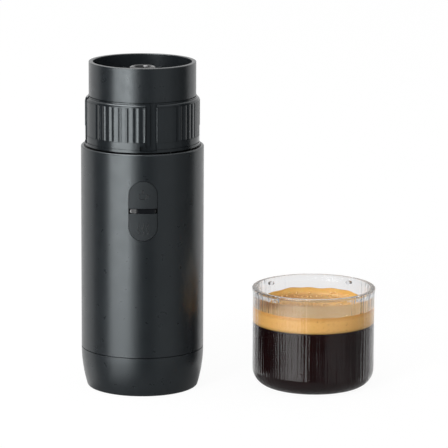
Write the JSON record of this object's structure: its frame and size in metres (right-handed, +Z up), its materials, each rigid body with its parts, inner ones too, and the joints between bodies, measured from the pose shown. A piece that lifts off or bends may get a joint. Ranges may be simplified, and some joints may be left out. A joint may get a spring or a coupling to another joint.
{
  "type": "portable coffee maker",
  "caption": "Cylindrical battery espresso maker with a screw-on brew head, screw tank lid and push buttons, with its clear cup standing beside it.",
  "frame": {"origin": "middle of the maker's flat base, on its axis", "axes": "+Z up along the maker's axis, buttons towards -Y, cup towards +X"},
  "size_m": [0.1688, 0.0723, 0.188],
  "materials": {
    "satin_anthracite": "satin, very fine grain",
    "ring_anthracite": "semi-gloss, moulded",
    "key_anthracite": "satin",
    "nozzle_black": "semi-gloss",
    "light_window": "gloss",
    "clear_cup": "clear, polished",
    "coffee_dark": "liquid",
    "crema_tan": "fine foam",
    "inner_black": "moulded",
    "inner_grey": "moulded",
    "tank_steel": "drawn and polished",
    "screw_steel": "bright",
    "foam_grey": "closed-cell foam",
    "heater_copper": "bare copper",
    "bush_brass": "turned",
    "magnet_iron": "sintered",
    "board_green": "solder mask",
    "chip_black": "moulded",
    "cell_blue": "shrink sleeve",
    "tube_clear": "translucent silicone",
    "seal_silicone": "food-safe silicone",
    "dark_silicone": "soft silicone"
  },
  "bodies": {
    "main_body": {"body_sleeve": "satin_anthracite", "tank_neck": "inner_black", "water_tank": "tank_steel", "tank_insulation": "foam_grey", "heater_plate": "heater_copper", "thermostat": "inner_black", "tank_outlet": "tube_clear", "board_frame": "inner_black", "main_board": "board_green", "board_parts": "chip_black", "board_screws": "screw_steel", "usb_socket": "screw_steel", "cell_carrier": "inner_grey", "cell_1": "cell_blue", "cell_2": "cell_blue", "cell_3": "cell_blue", "cell_strips": "screw_steel", "motor_can": "screw_steel", "motor_magnets": "magnet_iron", "motor_bushes": "bush_brass", "pump_housing": "inner_black", "pump_cap": "inner_grey", "inlet_tube": "tube_clear", "outlet_tube": "tube_clear", "button_guide": "inner_black", "button_board": "board_green", "button_switches": "inner_black", "light_bar": "light_window", "top_deck": "inner_black", "deck_screws": "screw_steel", "shower_block": "inner_grey", "shower_screen": "tank_steel", "screen_screw": "screw_steel", "chamber_gasket": "dark_silicone"},
    "rotor": {"motor_rotor": "heater_copper", "pump_eccentric": "screw_steel"},
    "brew_key": {"brew_button": "key_anthracite"},
    "heat_key": {"heat_button": "key_anthracite"},
    "flap": {"port_flap": "dark_silicone"},
    "basket": {"coffee_basket": "tank_steel", "basket_filter": "tank_steel", "basket_ring": "dark_silicone"},
    "brew_head": {"knurled_ring": "ring_anthracite", "spout_collar": "satin_anthracite", "spout_nozzle": "nozzle_black"},
    "seal": {"lid_seal": "seal_silicone"},
    "lid": {"tank_lid": "satin_anthracite", "vent_valve": "seal_silicone", "base_pads": "dark_silicone"},
    "drinking_cup": {"cup": "clear_cup", "coffee": "coffee_dark", "crema": "crema_tan"}
  },
  "joints": [
    {"name": "pump_spin", "type": "hinge", "parent": "main_body", "child": "rotor", "pos_m": [0, 0, 0.1], "axis": [0, 0, 1], "continuous": true},
    {"name": "brew_press", "type": "slide", "parent": "main_body", "child": "brew_key", "axis": [0, 1, 0], "range_m": [0, 0.0006], "stiffness_N_per_m": 1500},
    {"name": "heat_press", "type": "slide", "parent": "main_body", "child": "heat_key", "axis": [0, 1, 0], "range_m": [0, 0.0006], "stiffness_N_per_m": 1500},
    {"name": "flap_swing", "type": "hinge", "parent": "main_body", "child": "flap", "pos_m": [0, 0.0351, 0.07293], "axis": [-1, 0, 0], "range_deg": [0, 100]},
    {"name": "head_lift", "type": "slide", "parent": "main_body", "child": "basket", "axis": [0, 0, 1], "range_m": [0, 0.00901]},
    {"name": "head_turn", "type": "hinge", "parent": "basket", "child": "brew_head", "pos_m": [0, 0, 0.155], "axis": [0, 0, 1], "range_deg": [0, 540]},
    {"name": "lid_drop", "type": "slide", "parent": "main_body", "child": "seal", "axis": [0, 0, -1], "range_m": [0, 0.00801]},
    {"name": "lid_turn", "type": "hinge", "parent": "seal", "child": "lid", "pos_m": [0, 0, 0.012], "axis": [0, 0, -1], "range_deg": [0, 720]},
    {"name": "cup_lift", "type": "slide", "parent": "main_body", "child": "drinking_cup", "axis": [0, 0, 1], "range_m": [0, 0.1]}
  ],
  "couplings": [
    {"joint": "head_lift", "follows": "head_turn", "m_per_rad": 0.00095493},
    {"joint": "lid_drop", "follows": "lid_turn", "m_per_rad": 0.00063662}
  ]
}
